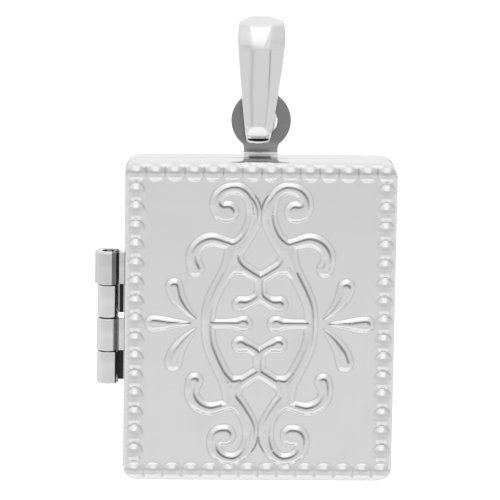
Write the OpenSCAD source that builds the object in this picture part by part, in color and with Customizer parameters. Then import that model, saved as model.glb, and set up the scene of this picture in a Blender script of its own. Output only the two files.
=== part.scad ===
// Photo locket: a flat rectangular case in two halves on a side hinge, hung from a ring tab and a tapered bail.
// Millimetres. X runs to the right, Y away from the viewer and Z up. The chain's seat inside the bail is the origin.

/* [Locket] */
// Width of the closed locket
body_w = 21; // [20.6:0.1:22]
// Height of the closed locket
body_h = 25.4; // [25:0.1:27]
// Depth of the closed locket, without the raised ornament
body_d = 4; // [3.6:0.1:5]
// Radius of the corners seen from the front
corner_r = 1.3; // [1:0.1:1.6]
// Rounding of the pressed edges
edge_r = 0.5; // [0.3:0.05:0.6]
// Thickness of the sheet
wall = 0.5; // [0.4:0.05:0.6]
// Gap between the two halves
part_gap = 0.1; // [0.06:0.02:0.2]
// How far the back case's closing lip reaches into the cover
lip_reach = 0.8; // [0.5:0.1:1]
// Thickness of the closing lip
lip_t = 0.3; // [0.25:0.05:0.4]
// Clearance round the closing lip
lip_gap = 0.08; // [0.06:0.01:0.12]

/* [Border beads] */
// Beads along the top and bottom
bead_cols = 14; // [12:1:14]
// Beads along each side
bead_rows = 17; // [14:1:17]
// Diameter of a bead
bead_d = 1.42; // [1:0.02:1.44]
// Height of a bead above the plate
bead_rise = 0.36; // [0.2:0.02:0.45]
// Distance from the locket's edge to the bead centres
bead_inset = 0.85; // [0.8:0.05:1]

/* [Scroll relief] */
// Height of the foot of the raised scrolls
foot_rise = 0.16; // [0.1:0.02:0.2]
// Height of the crest of the raised scrolls
crest_rise = 0.3; // [0.24:0.02:0.4]
// Width of the crest as a share of the foot's width
crest_share = 0.55; // [0.4:0.05:0.7]
// Drop of the ornament's centre below the cover's centre
relief_drop = 0.2; // [0:0.1:0.4]

/* [Ring tab] */
// Outer diameter of the ring
ring_od = 4.62; // [4.4:0.02:4.8]
// Diameter of the ring's hole
hole_d = 2.64; // [2.6:0.02:2.7]
// How far the hole sits below the ring's centre
hole_drop = 0.06; // [0:0.02:0.1]
// Depth of the ring's centre below the chain's seat
ring_depth = 7.8; // [7.7:0.05:7.9]
// Thickness of the tab
tab_t = 0.5; // [0.4:0.05:0.6]
// Width of the tab's stem
stem_w = 2.63; // [2.4:0.01:3]
// Radius where the stem meets the ring
stem_fillet_r = 0.6; // [0.4:0.1:0.8]
// Distance from the ring's centre down to the locket's top edge
ring_to_body = 2.65; // [2.6:0.05:3]

/* [Bail] */
// Thickness of the bail's wall
bail_wall = 0.35; // [0.3:0.05:0.5]
// Depth of the bail front to back at the top
bail_top_d = 4.2; // [3.9:0.1:4.4]
// Depth of the bail front to back at the bottom
bail_foot_d = 3.2; // [3:0.1:3.4]
// Width of the bail's top edge
bail_top_w = 3.28; // [3:0.02:3.4]
// Greatest width of the bail
bail_w = 3.6; // [3.5:0.1:3.8]
// Width of the bail's foot
bail_foot_w = 1.96; // [1.8:0.02:1.96]
// Depth of the bail's foot below the chain's seat
bail_depth = 9.3; // [9.2:0.02:9.4]
// Clearance between the journal that the bail's foot carries and the ring's hole
journal_gap = 0.07; // [0.05:0.01:0.1]
// Width of the groove in the foot that the ring turns in
groove_w = 0.9; // [0.8:0.05:1]

/* [Hinge] */
// Number of knuckles, counted from the top, cover first
knuckles = 4; // [4:2:6]
// Length of all the knuckles together
hinge_len = 10.6; // [9:0.2:14]
// Gap between knuckles
knuckle_gap = 0.1; // [0.06:0.02:0.2]
// Radius of a knuckle
knuckle_r = 0.86; // [0.8:0.02:0.96]
// Radius of the top knuckle, which is rolled more loosely
top_knuckle_r = 1.05; // [0.9:0.05:1.1]
// Distance from the locket's side to the hinge axis
hinge_out = 1.25; // [1.15:0.05:1.4]
// Height of the hinge's middle above the locket's middle
hinge_up = 0.05; // [0:0.05:1.5]
// Thickness of the leaf that carries a knuckle
leaf_t = 0.4; // [0.3:0.05:0.5]
// Diameter of the hinge pin
pin_d = 0.82; // [0.7:0.02:0.84]
// Diameter of the bore through the knuckles
pin_bore_d = 0.9; // [0.9:0.02:1]
// How far the pin stops short of each end of the hinge
pin_recess = 0.35; // [0.1:0.05:0.6]

/* [Hidden] */

silver = [0.82, 0.82, 0.83];
deep_silver = [0.62, 0.62, 0.63];

// Places that follow from the sizes above
tab_back = tab_t / 2;
part_y = tab_back - body_d / 2;
body_top = -ring_depth - ring_to_body;
body_z = body_top - body_h / 2;
hinge_x = -body_w / 2 - hinge_out;
hinge_z = body_z + hinge_up;
half_d = (body_d - part_gap) / 2;
hole_z = -ring_depth - hole_drop;
journal_r = hole_d / 2 - journal_gap;
cut = 0.5;
corner_steps = 6;
cap_steps = 6;

// Columns of the stroke tables: distance from the upright centre line, distance from the level centre line,
// half the stroke's width at its foot. Each stroke is drawn once and mirrored into the four quarters.
// The large scroll, from the curl at its top to the hooked end at the side
scroll = [
  [2.60, 9.05, 0.86], [3.05, 9.10, 0.80], [3.40, 9.60, 0.60], [3.30, 10.25, 0.52], [2.75, 10.75, 0.48],
  [1.90, 10.90, 0.48], [1.20, 10.50, 0.48], [0.82, 9.75, 0.48], [0.72, 8.80, 0.47], [0.95, 7.75, 0.47],
  [1.45, 6.90, 0.47], [2.10, 6.45, 0.47], [2.75, 6.60, 0.47], [3.75, 6.85, 0.55], [4.60, 6.55, 0.56],
  [5.12, 5.90, 0.56], [5.20, 5.20, 0.57], [5.00, 4.55, 0.66]
];
// The kite's side and its lower edge, ending on the centre line
kite = [
  [0.57, 8.25, 0.38], [0.87, 7.35, 0.46], [1.40, 6.50, 0.50], [1.92, 5.70, 0.54],
  [1.60, 4.88, 0.52], [0.82, 4.30, 0.48], [0, 3.80, 0.48]
];
// The bracket that arches from the scroll round to the level centre line
bracket = [
  [2.40, 6.15, 0.50], [2.36, 5.20, 0.56], [2.66, 4.30, 0.56], [3.38, 2.88, 0.54],
  [3.83, 1.75, 0.53], [3.97, 0.72, 0.53], [3.98, 0, 0.53]
];
// The stem under the kite and the hook that branches from it
stem_hook = [
  [0, 3.80, 0.48], [0, 3.05, 0.45], [0.13, 2.40, 0.46], [0.70, 1.97, 0.48], [1.25, 1.77, 0.60], [1.48, 1.72, 0.68]
];
// The level bar inside the bracket, thick at its inner end
bar = [[3.98, 0, 0.45], [2.95, 0, 0.40], [1.85, 0, 0.50], [1.28, 0, 0.72]];
// The slanting and the level petal beside the bracket
slant_petal = [[6.66, 3.10, 0.68], [6.40, 2.30, 0.60], [5.86, 1.45, 0.43], [5.30, 0.82, 0.25], [4.98, 0.48, 0.10]];
level_petal = [[8.20, 0, 0.72], [7.40, 0, 0.60], [6.55, 0, 0.38], [5.75, 0, 0.20], [5.30, 0, 0.08]];
// Strokes that appear in all four quarters, and those that only have a left and a right one
quarter_strokes = [scroll, kite, bracket, stem_hook, slant_petal];
side_strokes = [bar, level_petal];

function arc(centre, r, from, to, steps) =
  [for (i = [0:steps]) let (a = from + (to - from) * i / steps) centre + r * [cos(a), sin(a)]];

// A rounded rectangle's outline, drawn in by inset on all sides
function plate_outline(inset) =
  let (x = body_w / 2 - corner_r, y = body_h / 2 - corner_r, r = corner_r - inset)
  concat(
    arc([x, y], r, 0, 90, corner_steps), arc([-x, y], r, 90, 180, corner_steps),
    arc([-x, -y], r, 180, 270, corner_steps), arc([x, -y], r, 270, 360, corner_steps)
  );

// A smooth curve through a stroke's rows: two pieces between each row and the next
function row(rows, i) = rows[max(0, min(len(rows) - 1, i))];
function between(a, b, c, d, t) =
  b + 0.5 * t * ((c - a) + t * ((2 * a - 5 * b + 4 * c - d) + t * (3 * (b - c) + d - a)));
function smooth(rows) = [
  for (i = [0:len(rows) - 2], t = [0, 0.5]) between(row(rows, i - 1), rows[i], rows[i + 1], row(rows, i + 2), t),
  rows[len(rows) - 1]
];
function flat(p) = [p[0], p[1]];
function heading(rows, i) =
  let (d = flat(row(rows, i + 1)) - flat(row(rows, i - 1))) atan2(d[1], d[0]);

// A stroke's outline: out along one side, round the end, back along the other and round the start
function stroke_outline(rows, share) =
  let (last = len(rows) - 1)
  concat(
    [for (i = [0:last]) let (a = heading(rows, i) + 90) flat(rows[i]) + share * rows[i][2] * [cos(a), sin(a)]],
    let (a = heading(rows, last)) arc(flat(rows[last]), share * rows[last][2], a + 60, a - 60, cap_steps - 2),
    [for (i = [last:-1:0]) let (a = heading(rows, i) - 90) flat(rows[i]) + share * rows[i][2] * [cos(a), sin(a)]],
    let (a = heading(rows, 0)) arc(flat(rows[0]), share * rows[0][2], a - 120, a - 240, cap_steps - 2)
  );

module stroke(rows, share) { polygon(stroke_outline(smooth(rows), share)); }

// Turns a flat drawing to face the viewer: its third axis comes forwards from the plane y
module facing(y, z = body_z) { translate([0, y, z]) rotate([90, 0, 0]) children(); }

// One pressed half of the case, open at the parting plane and closed by a plate with rounded edges. What its
// children stamp into the plate is hollowed out with it.
module pressed_half() {
  difference() {
    union() {
      hull() {
        linear_extrude(half_d - edge_r) polygon(plate_outline(0));
        for (a = [30:30:90])
          translate([0, 0, half_d - edge_r])
            linear_extrude(edge_r * sin(a)) polygon(plate_outline(edge_r * (1 - cos(a))));
      }
      translate([0, 0, half_d]) children();
    }
    translate([0, 0, -cut]) linear_extrude(half_d - wall + cut) polygon(plate_outline(wall));
  }
}

// The lip stands on the back case's rim just inside its wall and closes into the cover
module closing_lip() {
  translate([0, 0, -lip_reach]) linear_extrude(lip_reach + half_d - wall / 2) difference() {
    polygon(plate_outline(wall + lip_gap));
    polygon(plate_outline(wall + lip_gap + lip_t));
  }
  linear_extrude(half_d - wall / 2) difference() {
    polygon(plate_outline(wall / 2));
    polygon(plate_outline(wall + lip_gap + lip_t));
  }
}

module bead() { translate([0, 0, bead_rise - bead_d / 2]) sphere(d = bead_d, $fn = 32); }

module border_beads() {
  x = body_w / 2 - bead_inset;
  y = body_h / 2 - bead_inset;
  for (i = [0:bead_cols - 1], s = [-1, 1]) translate([-x + 2 * x * i / (bead_cols - 1), s * y, 0]) bead();
  for (i = [1:bead_rows - 2], s = [-1, 1]) translate([s * x, -y + 2 * y * i / (bead_rows - 1), 0]) bead();
}

module four_ways() {
  for (x = [0, 1], y = [0, 1]) mirror([x, 0]) mirror([0, y]) children();
}

module scroll_drawing(share) {
  for (rows = quarter_strokes) four_ways() stroke(rows, share);
  for (rows = side_strokes, x = [0, 1]) mirror([x, 0]) stroke(rows, share);
}

module scroll_relief() {
  for (tier = [[foot_rise, 1], [crest_rise, crest_share]])
    translate([0, -relief_drop, -wall / 2]) linear_extrude(wall / 2 + tier[0]) scroll_drawing(tier[1]);
}

// Knuckles of one half, each on a leaf: first is 0 for the cover's and 1 for the case's, side is where the leaf lies
module knuckle_row(first, side) {
  pitch = hinge_len / knuckles;
  top = hinge_z + hinge_len / 2;
  length = pitch - knuckle_gap;
  for (i = [first:2:knuckles - 1]) translate([hinge_x, part_y, top - pitch * (i + 1) + knuckle_gap / 2])
    difference() {
      union() {
        cylinder(r = i == 0 ? top_knuckle_r : knuckle_r, h = length, $fn = 48);
        translate([0, side > 0 ? knuckle_r - leaf_t : -knuckle_r, 0]) cube([hinge_out + wall / 2, leaf_t, length]);
      }
      translate([0, 0, -cut]) cylinder(d = pin_bore_d, h = length + 2 * cut, $fn = 32);
    }
}

// The ring, its stem and the two small fillets between them
module ring_tab() {
  ring_r = ring_od / 2;
  s = stem_w / 2;
  fillet_x = s + stem_fillet_r;
  fillet_y = -sqrt(pow(ring_r + stem_fillet_r, 2) - fillet_x * fillet_x);
  fillet_end = atan2(-fillet_y, -fillet_x);
  facing(tab_back, -ring_depth) linear_extrude(tab_t) difference() {
    union() {
      circle(r = ring_r, $fn = 64);
      translate([-s, -ring_to_body - edge_r - wall]) square([stem_w, ring_to_body + edge_r + wall]);
      for (m = [0, 1]) mirror([m, 0])
        polygon(concat([[0, 0], [0, fillet_y]], arc([fillet_x, fillet_y], stem_fillet_r, 180, fillet_end, cap_steps)));
    }
    translate([0, -hole_drop]) circle(d = hole_d, $fn = 64);
  }
}

// A loop's outline seen from the side: round at the top, tapering to two round corners at the bottom
function loop_outline(top, top_r, corner, corner_r) =
  let (slope = atan2(corner[1] - top[1], corner[0]) + acos((top_r - corner_r) / norm(corner - top)))
  concat(
    arc(top, top_r, slope, 180 - slope, 28),
    arc([-corner[0], corner[1]], corner_r, 180 - slope, 270, 6),
    arc(corner, corner_r, -90, slope, 6)
  );

// The bail seen from the side. Its floor stands above the journal, so the foot is solid
module bail_side() {
  top_r = bail_top_d / 2;
  top = [0, bail_wall - top_r];
  foot_r = 0.45;
  floor_r = 0.3;
  floor_z = hole_z + sqrt(pow(journal_r, 2) - pow(bail_foot_w / 2 + 0.05, 2));
  difference() {
    polygon(loop_outline(top, top_r, [bail_foot_d / 2 - foot_r, foot_r - bail_depth], foot_r));
    polygon(loop_outline(top, top_r - bail_wall, [bail_foot_d / 2 - bail_wall - floor_r, floor_z + floor_r], floor_r));
  }
}

// The bail seen from the front: narrower at the top edge, widest where the round top ends, then tapering with a
// slight belly
module bail_front() {
  top_r = 0.2;
  foot_r = 0.4;
  belly = 0.05;
  wide_z = bail_wall - bail_top_d / 2;
  x = [bail_top_w / 2 - top_r, bail_w / 2, bail_foot_w / 2 - foot_r];
  middle = [(x[1] + bail_foot_w / 2) / 2 + belly, (wide_z + foot_r - bail_depth) / 2];
  polygon(concat(
    arc([x[0], bail_wall - top_r], top_r, 90, 10, 3), [[x[1] - 0.03, wide_z / 2], [x[1], wide_z], middle],
    arc([x[2], foot_r - bail_depth], foot_r, -6, -90, 5), arc([-x[2], foot_r - bail_depth], foot_r, -90, -174, 5),
    [[-middle[0], middle[1]], [-x[1], wide_z], [0.03 - x[1], wide_z / 2]],
    arc([-x[0], bail_wall - top_r], top_r, 170, 90, 3)
  ));
}

// The foot is cut back all round the journal on which the ring turns
module ring_groove() {
  translate([0, groove_w / 2, hole_z]) rotate([90, 0, 0]) linear_extrude(groove_w) difference() {
    translate([-bail_w, -bail_w]) square([2 * bail_w, bail_w]);
    circle(r = journal_r, $fn = 64);
  }
}

module bail() {
  color(silver) difference() {
    intersection() {
      rotate([90, 0, 90]) translate([0, 0, -bail_w]) linear_extrude(2 * bail_w) bail_side();
      translate([0, bail_top_d, 0]) rotate([90, 0, 0]) linear_extrude(2 * bail_top_d) bail_front();
    }
    ring_groove();
  }
}

module back_case() {
  color(deep_silver) {
    facing(part_y + part_gap / 2) mirror([0, 0, 1]) {
      pressed_half();
      closing_lip();
    }
    ring_tab();
    knuckle_row(1, 1);
  }
}

module hinge_pin() {
  length = hinge_len - knuckle_gap - 2 * pin_recess;
  color(deep_silver) translate([hinge_x, part_y, hinge_z - length / 2]) cylinder(d = pin_d, h = length, $fn = 32);
}

module front_cover() {
  color(silver) {
    facing(part_y - part_gap / 2) {
      pressed_half() {
        border_beads();
        scroll_relief();
      }
    }
    knuckle_row(0, -1);
  }
}

bail();
back_case();
hinge_pin();
front_cover();
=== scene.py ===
# Photo locket of polished silver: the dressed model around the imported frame.
# Sizes below are millimetres in the frame's own axes: X to the right, Y away from the viewer, Z up.
import math

import bmesh
import bpy
import numpy as np
from mathutils import Matrix, Vector


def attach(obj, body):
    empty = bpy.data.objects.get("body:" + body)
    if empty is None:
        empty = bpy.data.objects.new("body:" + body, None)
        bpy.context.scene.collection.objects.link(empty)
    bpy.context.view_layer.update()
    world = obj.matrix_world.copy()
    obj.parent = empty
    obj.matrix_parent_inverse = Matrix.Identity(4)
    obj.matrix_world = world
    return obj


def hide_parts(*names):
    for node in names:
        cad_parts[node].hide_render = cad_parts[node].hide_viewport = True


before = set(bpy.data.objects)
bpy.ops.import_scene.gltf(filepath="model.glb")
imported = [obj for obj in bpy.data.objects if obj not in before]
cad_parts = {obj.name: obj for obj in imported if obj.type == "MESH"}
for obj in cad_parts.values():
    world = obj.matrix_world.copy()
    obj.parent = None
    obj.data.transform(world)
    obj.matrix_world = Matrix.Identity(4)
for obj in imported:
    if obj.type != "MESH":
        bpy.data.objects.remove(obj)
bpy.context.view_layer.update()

MM = 0.001

# The locket's body, as in the frame
BODY_W = 21.0
BODY_H = 25.4
CORNER_R = 1.3
EDGE_R = 0.5
WALL = 0.5
PART_GAP = 0.1
PART_Y = -1.75
HALF_D = 1.95
LIP_H = 0.8
LIP_GAP = 0.08
LIP_T = 0.3
FRONT_Y = PART_Y - PART_GAP / 2 - HALF_D
BODY_Z = -23.15
BODY_TOP = BODY_Z + BODY_H / 2
RELIEF_Z = BODY_Z - 0.2

# Spacing of the grids that the two halves are pressed from, and how far most edges are softened
COVER_GRID = 0.08
BACK_GRID = 1.0
SOFT_EDGE = 0.07

# The beaded border
BEAD_COLS = 14
BEAD_ROWS = 17
BEAD_R = 1.06
BEAD_RISE = 0.31
BEAD_INSET = 0.85
BEAD_SQUASH = 1.15

# The ring tab, the folded edge that its stem rises behind, and the bail
TAB_T = 0.5
RING_Z = -7.8
RING_R = 2.31
HOLE_Z = -7.86
HOLE_R = 1.27
STEM_W = 2.63
STEM_FILLET_R = 0.6
STEM_FOOT_Z = BODY_TOP - 0.6
STEM_LEDGE_Y = -0.34
STEM_LEDGE_SIZE = (2.66, 0.2, 0.38)
BAIL_WALL = 0.35
JOURNAL_R = 1.25
GROOVE_W = 0.9

# The hinge: its knuckles' radii from the top down, how much shorter each one's leaf is than the knuckle, and
# the leaves of both halves, given by their two sides in Y and their two ends in X
HINGE_X = -11.75
HINGE_Z = BODY_Z + 0.05
HINGE_LEN = 10.6
KNUCKLE_R = [1.03, 0.82, 0.88, 0.84]
KNUCKLE_GAP = 0.1
LEAF_SHORT = [0.0, 0.12, 0.0, 0.05]
LEAF_SOFT = 0.06
COVER_LEAF = (-2.30, -1.95, -11.3, -10.3)
CASE_LEAF = (-1.2, -0.8, -11.7, -10.3)
PIN_R = 0.41
BORE_R = 0.45
PIN_RECESS = 0.35
PIN_SOFT = 0.1


# Shader maths: a number that runs through a material
class Number:
    def __init__(self, finish, socket):
        self.finish = finish
        self.socket = socket

    def maths(self, operation, first, second=None):
        given = {0: first} if second is None else {0: first, 1: second}
        return self.finish.node("ShaderNodeMath", {"operation": operation}, given)

    def __add__(self, other):
        return self.maths("ADD", self, other)

    def __radd__(self, other):
        return self.maths("ADD", other, self)

    def __sub__(self, other):
        return self.maths("SUBTRACT", self, other)

    def __rsub__(self, other):
        return self.maths("SUBTRACT", other, self)

    def __mul__(self, other):
        return self.maths("MULTIPLY", self, other)

    def __rmul__(self, other):
        return self.maths("MULTIPLY", other, self)

    def __truediv__(self, other):
        return self.maths("DIVIDE", self, other)

    def __neg__(self):
        return self.maths("MULTIPLY", self, -1.0)

    def size(self):
        return self.maths("ABSOLUTE", self)

    def least(self, other):
        return self.maths("MINIMUM", self, other)

    def step(self, start, end):
        """Nought up to the start, one from the end on, and smooth between them."""
        given = {"Value": self, "From Min": start, "From Max": end}
        return self.finish.node("ShaderNodeMapRange", {"interpolation_type": "SMOOTHSTEP"}, given)


# A node tree and the nodes that are added to it
class Finish:
    def __init__(self, tree):
        self.tree = tree
        tree.nodes.clear()

    def node(self, kind, settings=None, given=None, out=0):
        made = self.tree.nodes.new(kind)
        for name, value in (settings or {}).items():
            if name == "stops":
                ramp = made.color_ramp
                while len(ramp.elements) > 1:
                    ramp.elements.remove(ramp.elements[-1])
                ramp.elements[0].position = value[0][0]
                ramp.elements[0].color = value[0][1]
                for place, colour in value[1:]:
                    ramp.elements.new(place).color = colour
            else:
                setattr(made, name, value)
        for name, value in (given or {}).items():
            if isinstance(value, Number):
                self.tree.links.new(value.socket, made.inputs[name])
            else:
                made.inputs[name].default_value = value
        return None if out is None else Number(self, made.outputs[out])

    def place(self):
        return self.node("ShaderNodeTexCoord", out="Object")

    def split(self, vector):
        node = self.node("ShaderNodeSeparateXYZ", given={0: vector}).socket.node
        return [Number(self, output) for output in node.outputs]

    def millimetres(self, place):
        return [part * (1 / MM) for part in self.split(place)]

    def noise(self, vector, scale, detail=2.0):
        given = {"Vector": vector, "Scale": scale, "Detail": detail, "Roughness": 0.5}
        return self.node("ShaderNodeTexNoise", given=given, out="Fac")

    def stretched(self, vector, scale):
        return self.node("ShaderNodeMapping", given={"Vector": vector, "Scale": scale})

    def grey(self, level):
        return self.node("ShaderNodeCombineColor", given={"Red": level, "Green": level, "Blue": level})

    def mix(self, factor, first, second):
        return self.node("ShaderNodeMix", {"data_type": "RGBA"}, {0: factor, 6: first, 7: second}, out=2)

    def bump(self, height, distance, normal=None):
        given = {"Height": height, "Distance": distance, "Strength": 1.0}
        if normal is not None:
            given["Normal"] = normal
        return self.node("ShaderNodeBump", given=given)


# How the silver varies: the point its noise starts from, the scales of its waves, ripples and cloudy
# places, the heights of its bumps in metres, and its polishing lines' scales and shares, down and across
GRAIN_START = (0.0137, 0.0071, 0.0093)
WAVE_SCALE = 140.0
RIPPLE_SCALE = 520.0
CLOUD_SCALE = 260.0
WAVE_HEIGHT = 0.00009
RIPPLE_HEIGHT = 0.000006
SCRATCH_HEIGHT = 0.0000012
LINES_DOWN = (2600.0, 2600.0, 260.0)
LINES_ACROSS = (300.0, 2600.0, 3000.0)
SHARE_DOWN = 0.6
SHARE_ACROSS = 0.4

# Where a cloud begins and is full and how dark it is, the darkest that a place gets with its painted shade
# and the share of the silver's colour that it keeps, and how much lines, clouds and dark places roughen it
CLOUDY = (0.55, 0.8)
CLOUD_DARK = 0.05
DARKEST = 0.99
DARK_KEEPS = 0.03
LINE_ROUGH = 0.05
CLOUD_ROUGH = 0.05
DARK_ROUGH = 0.15


def metal(name, colour, rough, painted_shading=None, waves=1.0, attribute=None):
    """Polished silver: slow waves, fine polishing lines, a little grey where it is handled and any painted
    shade it is given.
    """
    material = bpy.data.materials.new(name)
    material.use_nodes = True
    finish = Finish(material.node_tree)
    here = finish.place()
    grain = finish.node("ShaderNodeVectorMath", {"operation": "ADD"}, {0: here, 1: GRAIN_START})
    slow = finish.noise(grain, WAVE_SCALE, 1.0)
    middle = finish.noise(grain, RIPPLE_SCALE)
    lines = finish.noise(finish.stretched(grain, LINES_DOWN), 1.0)
    cross = finish.noise(finish.stretched(grain, LINES_ACROSS), 1.0)
    cloud = finish.noise(grain, CLOUD_SCALE, 3.0)
    dark = cloud.step(*CLOUDY) * CLOUD_DARK
    # Painted shade, from a point attribute and from a given function, darkens the colour along with the
    # clouds
    if attribute:
        crease = finish.node("ShaderNodeAttribute", {"attribute_name": attribute}, out="Fac")
        dark = dark + crease
    if painted_shading:
        dark = dark + painted_shading(finish, here)
    dark = dark.least(DARKEST)
    shade = tuple(DARK_KEEPS * c for c in colour[:3]) + (1.0,)
    base = finish.mix(dark, colour, shade)
    uneven = LINE_ROUGH * (lines - 0.5) + CLOUD_ROUGH * (cloud - 0.5)
    roughness = rough + uneven + DARK_ROUGH * dark
    wave = finish.bump(slow, WAVE_HEIGHT * waves)
    ripple = finish.bump(middle, RIPPLE_HEIGHT * waves, wave)
    fine = finish.bump(lines * SHARE_DOWN + cross * SHARE_ACROSS, SCRATCH_HEIGHT, ripple)
    given = {"Base Color": base, "Metallic": 1.0, "Roughness": roughness, "Normal": fine}
    shader = finish.node("ShaderNodeBsdfPrincipled", given=given)
    finish.node("ShaderNodeOutputMaterial", given={"Surface": shader}, out=None)
    return material


# Making pieces
def fresh():
    """Leaves edit mode and deselects everything."""
    if bpy.context.object and bpy.context.object.mode != "OBJECT":
        bpy.ops.object.mode_set(mode="OBJECT")
    bpy.ops.object.select_all(action="DESELECT")


def named(piece, name):
    piece.name = name
    piece.data.name = name
    return piece


def just(piece):
    """Selects one piece alone."""
    fresh()
    piece.select_set(True)
    bpy.context.view_layer.objects.active = piece


def settle(piece):
    just(piece)
    bpy.ops.object.transform_apply(location=True, rotation=True, scale=True)


def finish_mesh(piece, merge=0.0, angle=40.0):
    """Merges doubles, turns the faces outwards and sets the smooth shading."""
    just(piece)
    bpy.ops.object.mode_set(mode="EDIT")
    bpy.ops.mesh.select_all(action="SELECT")
    if merge:
        bpy.ops.mesh.remove_doubles(threshold=merge * MM)
    bpy.ops.mesh.normals_make_consistent(inside=False)
    bpy.ops.object.mode_set(mode="OBJECT")
    bpy.ops.object.shade_smooth_by_angle(angle=math.radians(angle))


def join(pieces, name):
    fresh()
    for piece in pieces:
        piece.select_set(True)
    bpy.context.view_layer.objects.active = pieces[0]
    if len(pieces) > 1:
        bpy.ops.object.join()
    return named(bpy.context.view_layer.objects.active, name)


def modifier(piece, kind, **settings):
    just(piece)
    made = piece.modifiers.new(kind.lower(), kind)
    for name, value in settings.items():
        setattr(made, name, value)
    bpy.ops.object.modifier_apply(modifier=made.name)


def edges_where(piece, test):
    """Selects in edit mode the edges whose two ends pass a test, which gets them in millimetres."""
    just(piece)
    bpy.ops.object.mode_set(mode="EDIT")
    bpy.ops.mesh.select_mode(type="EDGE")
    bpy.ops.mesh.select_all(action="DESELECT")
    shape = bmesh.from_edit_mesh(piece.data)
    for edge in shape.edges:
        a, b = (v.co / MM for v in edge.verts)
        if test(a, b):
            edge.select_set(True)
    bmesh.update_edit_mesh(piece.data)


def faces_where(piece, test):
    """Selects in edit mode the faces whose middle, in millimetres, and normal pass a test."""
    just(piece)
    bpy.ops.object.mode_set(mode="EDIT")
    bpy.ops.mesh.select_mode(type="FACE")
    bpy.ops.mesh.select_all(action="DESELECT")
    shape = bmesh.from_edit_mesh(piece.data)
    for face in shape.faces:
        if test(face.calc_center_median() / MM, face.normal):
            face.select_set(True)
    bmesh.update_edit_mesh(piece.data)


def paint(piece, material):
    piece.data.materials.clear()
    piece.data.materials.append(material)


def dress(piece, material, body, slot, *nodes):
    """Gives a piece its finish, the body it rides and the CAD nodes it takes the place of; its slot is not
    used.
    """
    paint(piece, material)
    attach(piece, body)
    if nodes:
        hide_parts(*nodes)


def mesh_piece(name, corners, faces):
    """A piece from its corners in millimetres and its faces."""
    mesh = bpy.data.meshes.new(name)
    mesh.from_pydata([tuple(c * MM for c in p) for p in corners], [], faces)
    mesh.update()
    piece = bpy.data.objects.new(name, mesh)
    bpy.context.scene.collection.objects.link(piece)
    return piece


# The stamped front plate: a quarter of its strokes, as rows of distance across, distance up and half the
# width at the foot, all from the relief's centre
SCROLL = [
    (2.60, 9.05, 0.86), (3.05, 9.10, 0.80), (3.40, 9.60, 0.60), (3.30, 10.25, 0.52), (2.75, 10.75, 0.48),
    (1.90, 10.90, 0.48), (1.20, 10.50, 0.48), (0.82, 9.75, 0.48), (0.72, 8.80, 0.47), (0.95, 7.75, 0.47),
    (1.45, 6.90, 0.47), (2.10, 6.45, 0.47), (2.75, 6.60, 0.47), (3.75, 6.85, 0.55), (4.60, 6.55, 0.56),
    (5.12, 5.90, 0.56), (5.20, 5.20, 0.57), (5.00, 4.55, 0.66),
]
KITE = [
    (1.05, 10.25, 0.44), (0.74, 9.92, 0.44), (0.52, 9.50, 0.44), (0.42, 9.00, 0.43), (0.42, 8.50, 0.42),
    (0.56, 8.00, 0.46), (0.87, 7.35, 0.46), (1.40, 6.50, 0.50), (1.92, 5.70, 0.54),
    (1.60, 4.88, 0.52), (0.82, 4.30, 0.48), (0.0, 3.80, 0.48),
]
BRACKET = [
    (2.42, 6.35, 0.36), (2.36, 5.20, 0.56), (2.66, 4.30, 0.56), (3.38, 2.88, 0.54),
    (3.83, 1.75, 0.53), (3.97, 0.72, 0.53), (3.98, 0.0, 0.53),
]
STEM_HOOK = [
    (0.0, 3.80, 0.48), (0.0, 3.05, 0.45), (0.13, 2.40, 0.46), (0.70, 1.97, 0.48), (1.25, 1.77, 0.60),
    (1.48, 1.72, 0.68),
]
CORNER_FILL = [(2.95, 3.75, 0.46), (2.38, 4.38, 0.50), (2.05, 4.66, 0.57), (1.50, 4.54, 0.44)]
JOIN_FILL = [
    (1.95, 6.15, 0.60), (2.12, 5.60, 0.60), (2.08, 5.15, 0.60), (2.00, 4.85, 0.56), (1.75, 4.78, 0.50),
]
BAR = [(3.98, 0.0, 0.45), (2.95, 0.0, 0.40), (1.85, 0.0, 0.50), (1.28, 0.0, 0.72)]
SLANT_PETAL = [
    (6.66, 3.10, 0.68), (6.40, 2.30, 0.60), (5.86, 1.45, 0.43), (5.30, 0.82, 0.25), (4.98, 0.48, 0.10),
]
LEVEL_PETAL = [
    (8.20, 0.0, 0.72), (7.40, 0.0, 0.60), (6.55, 0.0, 0.38), (5.75, 0.0, 0.20), (5.30, 0.0, 0.08),
]
STROKES = [SCROLL, CORNER_FILL, JOIN_FILL, KITE, BRACKET, STEM_HOOK, BAR, SLANT_PETAL, LEVEL_PETAL]

# The lower half is no exact mirror of the upper one: how far up it sits, at heights from the plate's centre
LIFT_AT = [-10.9, -9.0, -6.5, -4.1, -2.1, 0.0, 1.2]
LIFT_BY = [0.22, 0.33, 0.21, 0.15, 0.29, 0.21, 0.0]

# Where a stroke's side runs on into its neighbour, by distance across or up from the relief's centre
KITE_JOIN_Z = 4.7
SCROLL_JOIN_X = 2.85
SCROLL_INNER_X = 1.5
SCROLL_INNER_Z = 9.0
SCROLL_OUTER_Z = 8.3
BRACKET_JOIN_Z = 4.35
LOWER_BRACKET_JOIN_Z = 4.7

# Across a stroke: the crest's height, the side's slope, the shoulder's radius, and the half width that a
# stroke needs to reach the full height
CREST = 0.30
SLOPE = 0.8
RIDGE_R = 0.5
FULL_HALF = 0.55

# Round a stroke: how far out from its foot it is worked out, how far out its slope goes on, the depth and
# the height that stand for none, and how near its middle line its side no longer counts as facing out
STROKE_REACH = 0.5
SLOPE_REACH = 0.6
FAR_OUT = -9.0
NO_RELIEF = -1.0
MIDDLE = 0.04

# The painted shade line inside a stroke's edge, and how much it shows on sides that face up and to the right
LINE_DEPTH = 0.39
LINE_WIDTH = 0.08
LINE_UP = 1.1
LINE_RIGHT = 0.35
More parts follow.
